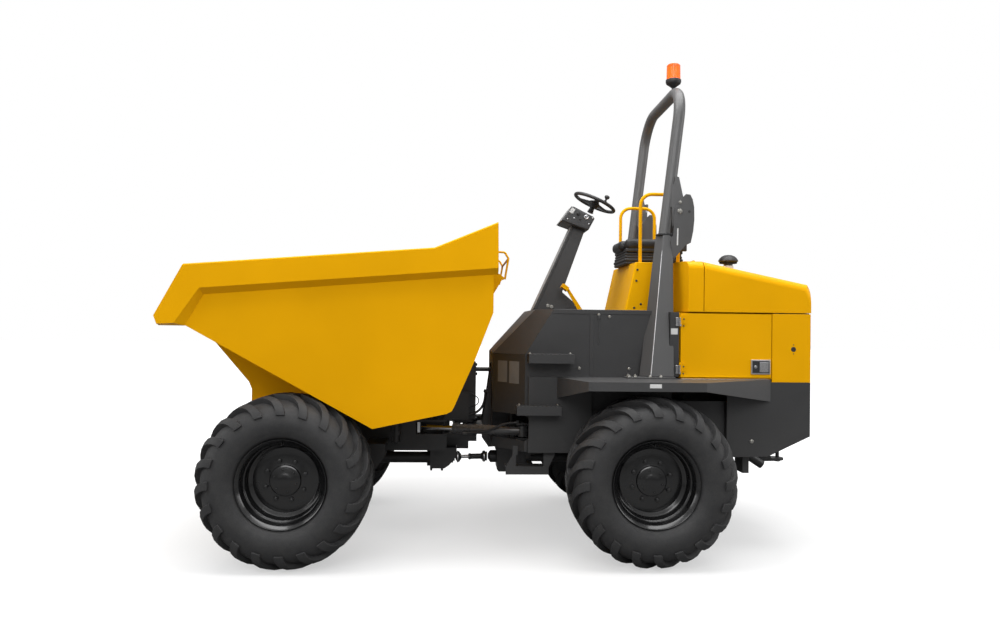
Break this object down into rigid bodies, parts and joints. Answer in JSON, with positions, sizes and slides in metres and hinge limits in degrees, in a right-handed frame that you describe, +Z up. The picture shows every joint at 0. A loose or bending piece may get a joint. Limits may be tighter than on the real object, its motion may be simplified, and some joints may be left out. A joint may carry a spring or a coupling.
{
  "type": "articulated site dumper",
  "caption": "Articulated wheeled site dumper with a forward-tipping skip, a folding roll hoop by the open seat, and the engine under a rear bonnet.",
  "frame": {"origin": "on the ground, below the middle of the machine's length and width", "axes": "+X forwards, from the engine end to the skip's lip; +Y to the operator's left; +Z up"},
  "size_m": [4.746, 2.494, 3.7648],
  "materials": {
    "yellow_paint": "gloss",
    "grey_paint": "satin",
    "black_paint": "semi-gloss",
    "tyre_rubber": "matt",
    "polished_rod": "polished",
    "bare_steel": "machined",
    "engine_iron": "rough",
    "radiator_metal": "finned",
    "seat_vinyl": "grained",
    "bellows_rubber": "matt",
    "black_plastic": "grained",
    "amber_plastic": "clear moulded"
  },
  "bodies": {
    "rear_chassis": {"rear_frame": "black_paint", "rear_axle": "black_paint", "gearbox": "black_paint", "platform_tub": "grey_paint", "mudguard_left": "grey_paint", "mudguard_right": "grey_paint", "rear_skirt": "grey_paint", "engine_bay": "yellow_paint", "engine_block": "engine_iron", "radiator": "radiator_metal", "cover_front": "yellow_paint", "seat_plinth": "yellow_paint", "seat_suspension": "bellows_rubber", "seat_cushion": "seat_vinyl", "seat_backrest": "seat_vinyl", "hand_hoop_left": "yellow_paint", "hand_hoop_right": "yellow_paint", "rops_post_left": "grey_paint", "rops_post_right": "grey_paint", "control_console": "grey_paint", "pedals": "yellow_paint", "steps_left": "grey_paint", "steps_right": "grey_paint", "tow_hitch": "black_paint", "tail_pipe": "black_paint", "joint_hose": "bellows_rubber", "ram_hose": "bellows_rubber"},
    "front_chassis": {"front_frame": "black_paint", "front_axle": "black_paint", "front_driveline": "black_paint", "mast_hose": "bellows_rubber"},
    "skip": {"skip_body": "yellow_paint", "skip_rim": "yellow_paint", "skip_lugs": "yellow_paint", "skip_handle": "yellow_paint"},
    "prop": {"prop_shaft": "bare_steel"},
    "hood": {"bonnet": "yellow_paint", "pre_cleaner": "black_plastic"},
    "door_left": {"side_door_left": "yellow_paint"},
    "door_right": {"side_door_right": "yellow_paint"},
    "roll_hoop": {"rops_hoop": "grey_paint", "beacon_base": "black_plastic", "beacon_lens": "amber_plastic"},
    "hand_wheel": {"steering_wheel": "black_plastic"},
    "front_wheel_left_body": {"front_tyre_left": "tyre_rubber", "front_wheel_left": "black_paint"},
    "front_wheel_right_body": {"front_tyre_right": "tyre_rubber", "front_wheel_right": "black_paint"},
    "rear_wheel_left_body": {"rear_tyre_left": "tyre_rubber", "rear_wheel_left": "black_paint"},
    "rear_wheel_right_body": {"rear_tyre_right": "tyre_rubber", "rear_wheel_right": "black_paint"},
    "tip_barrel_left": {"tip_ram_barrel_left": "black_paint"},
    "tip_rod_left": {"tip_ram_rod_left": "polished_rod"},
    "tip_barrel_right": {"tip_ram_barrel_right": "black_paint"},
    "tip_rod_right": {"tip_ram_rod_right": "polished_rod"},
    "steer_barrel_left": {"steer_ram_barrel_left": "black_paint"},
    "steer_rod_left": {"steer_ram_rod_left": "polished_rod"},
    "steer_barrel_right": {"steer_ram_barrel_right": "black_paint"},
    "steer_rod_right": {"steer_ram_rod_right": "polished_rod"}
  },
  "joints": [
    {"name": "steering", "type": "hinge", "parent": "rear_chassis", "child": "front_chassis", "pos_m": [0.235, 0, 0.863], "axis": [0, 0, 1], "range_deg": [-33, 33], "deforming": ["joint_hose", "ram_hose"]},
    {"name": "skip_tip", "type": "hinge", "parent": "front_chassis", "child": "skip", "pos_m": [1.8, 0, 1.033], "axis": [0, 1, 0], "range_deg": [0, 60]},
    {"name": "front_wheel_left_spin", "type": "hinge", "parent": "front_chassis", "child": "front_wheel_left_body", "pos_m": [1.515, 0.995, 0.59], "axis": [0, 1, 0], "continuous": true},
    {"name": "front_wheel_right_spin", "type": "hinge", "parent": "front_chassis", "child": "front_wheel_right_body", "pos_m": [1.515, -0.995, 0.59], "axis": [0, 1, 0], "continuous": true},
    {"name": "rear_wheel_left_spin", "type": "hinge", "parent": "rear_chassis", "child": "rear_wheel_left_body", "pos_m": [-1.008, 0.995, 0.59], "axis": [0, 1, 0], "continuous": true},
    {"name": "rear_wheel_right_spin", "type": "hinge", "parent": "rear_chassis", "child": "rear_wheel_right_body", "pos_m": [-1.008, -0.995, 0.59], "axis": [0, 1, 0], "continuous": true},
    {"name": "tip_barrel_left_swing", "type": "hinge", "parent": "front_chassis", "child": "tip_barrel_left", "pos_m": [1, 0.55, 0.623], "axis": [0, 1, 0], "range_deg": [-3, 3]},
    {"name": "tip_rod_left_slide", "type": "slide", "parent": "tip_barrel_left", "child": "tip_rod_left", "axis": [0.6275, 0, 0.7786], "range_m": [0, 0.41]},
    {"name": "steer_barrel_left_swing", "type": "hinge", "parent": "rear_chassis", "child": "steer_barrel_left", "pos_m": [-0.15, 0.46, 0.858], "axis": [0, 0, 1], "range_deg": [-14, 14]},
    {"name": "steer_rod_left_slide", "type": "slide", "parent": "steer_barrel_left", "child": "steer_rod_left", "axis": [0.9631, -0.2692, 0], "range_m": [-0.2, 0.2]},
    {"name": "tip_barrel_right_swing", "type": "hinge", "parent": "front_chassis", "child": "tip_barrel_right", "pos_m": [1, -0.55, 0.623], "axis": [0, 1, 0], "range_deg": [-3, 3]},
    {"name": "tip_rod_right_slide", "type": "slide", "parent": "tip_barrel_right", "child": "tip_rod_right", "axis": [0.6275, 0, 0.7786], "range_m": [0, 0.41]},
    {"name": "steer_barrel_right_swing", "type": "hinge", "parent": "rear_chassis", "child": "steer_barrel_right", "pos_m": [-0.15, -0.46, 0.858], "axis": [0, 0, 1], "range_deg": [-14, 14]},
    {"name": "steer_rod_right_slide", "type": "slide", "parent": "steer_barrel_right", "child": "steer_rod_right", "axis": [0.9631, 0.2692, 0], "range_m": [-0.2, 0.2]},
    {"name": "prop_swing", "type": "hinge", "parent": "rear_chassis", "child": "prop", "pos_m": [0.109, 0, 0.592], "axis": [0, 0, 1], "range_deg": [-17.5, 17.5]},
    {"name": "bonnet_lift", "type": "hinge", "parent": "rear_chassis", "child": "hood", "pos_m": [-1.462, 0, 2.174], "axis": [0, 1, 0], "range_deg": [0, 32]},
    {"name": "door_left_swing", "type": "hinge", "parent": "rear_chassis", "child": "door_left", "pos_m": [-1.286, 0.758, 1.513], "axis": [0, 0, -1], "range_deg": [0, 90]},
    {"name": "door_right_swing", "type": "hinge", "parent": "rear_chassis", "child": "door_right", "pos_m": [-1.286, -0.758, 1.513], "axis": [0, 0, 1], "range_deg": [0, 90]},
    {"name": "rops_fold", "type": "hinge", "parent": "rear_chassis", "child": "roll_hoop", "pos_m": [-1.324, 0, 2.549], "axis": [0, -1, 0], "range_deg": [0, 90]},
    {"name": "hand_wheel_spin", "type": "hinge", "parent": "rear_chassis", "child": "hand_wheel", "pos_m": [-0.767, 0, 2.692], "axis": [-0.4092, 0, 0.9124], "continuous": true}
  ],
  "couplings": [
    {"joint": "tip_barrel_left_swing", "follows": "skip_tip", "ratio": -0.005},
    {"joint": "tip_rod_left_slide", "follows": "skip_tip", "m_per_rad": 0.382},
    {"joint": "steer_barrel_left_swing", "follows": "steering", "ratio": 0.41},
    {"joint": "steer_rod_left_slide", "follows": "steering", "m_per_rad": -0.335},
    {"joint": "tip_barrel_right_swing", "follows": "skip_tip", "ratio": -0.005},
    {"joint": "tip_rod_right_slide", "follows": "skip_tip", "m_per_rad": 0.382},
    {"joint": "steer_barrel_right_swing", "follows": "steering", "ratio": 0.41},
    {"joint": "steer_rod_right_slide", "follows": "steering", "m_per_rad": 0.335},
    {"joint": "prop_swing", "follows": "steering", "ratio": 0.52}
  ]
}
